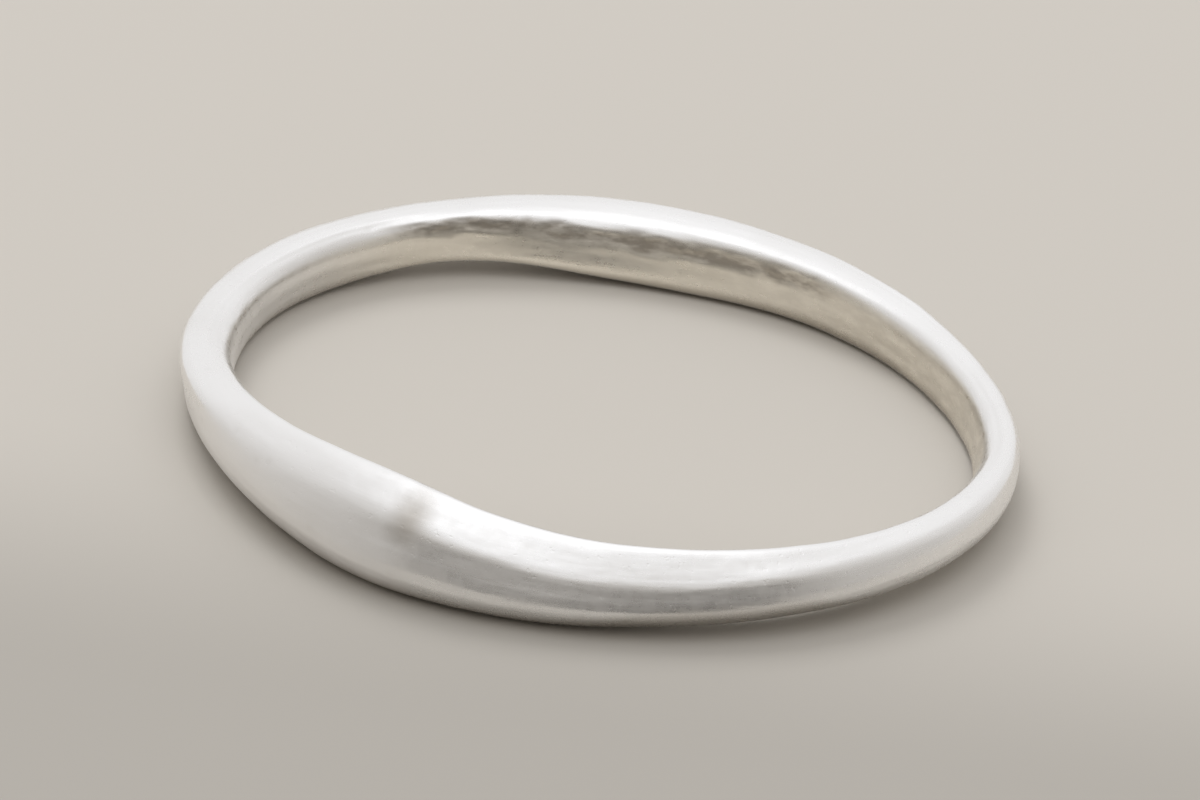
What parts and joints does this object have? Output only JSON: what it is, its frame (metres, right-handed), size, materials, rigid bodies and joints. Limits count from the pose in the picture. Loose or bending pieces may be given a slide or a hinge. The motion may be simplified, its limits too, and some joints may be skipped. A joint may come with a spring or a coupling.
{
  "type": "stackable ring",
  "caption": "Plain silver finger ring: one hand-forged band that swells and thins round an open bore, lying on its side on a flat sole.",
  "frame": {"origin": "the middle of the band's outline seen along the finger's axis, on the surface that the ring lies on", "axes": "+Z along the finger's axis, up from the surface; +X towards the band's slimmest side; -Y towards the side with the sloping flat top"},
  "size_m": [0.0198, 0.0208, 0.0026],
  "materials": {
    "silver": "white silver with a satin polish, faint forging marks and softly burnished edges"
  },
  "bodies": {
    "root": {"band": "silver"}
  },
  "joints": []
}
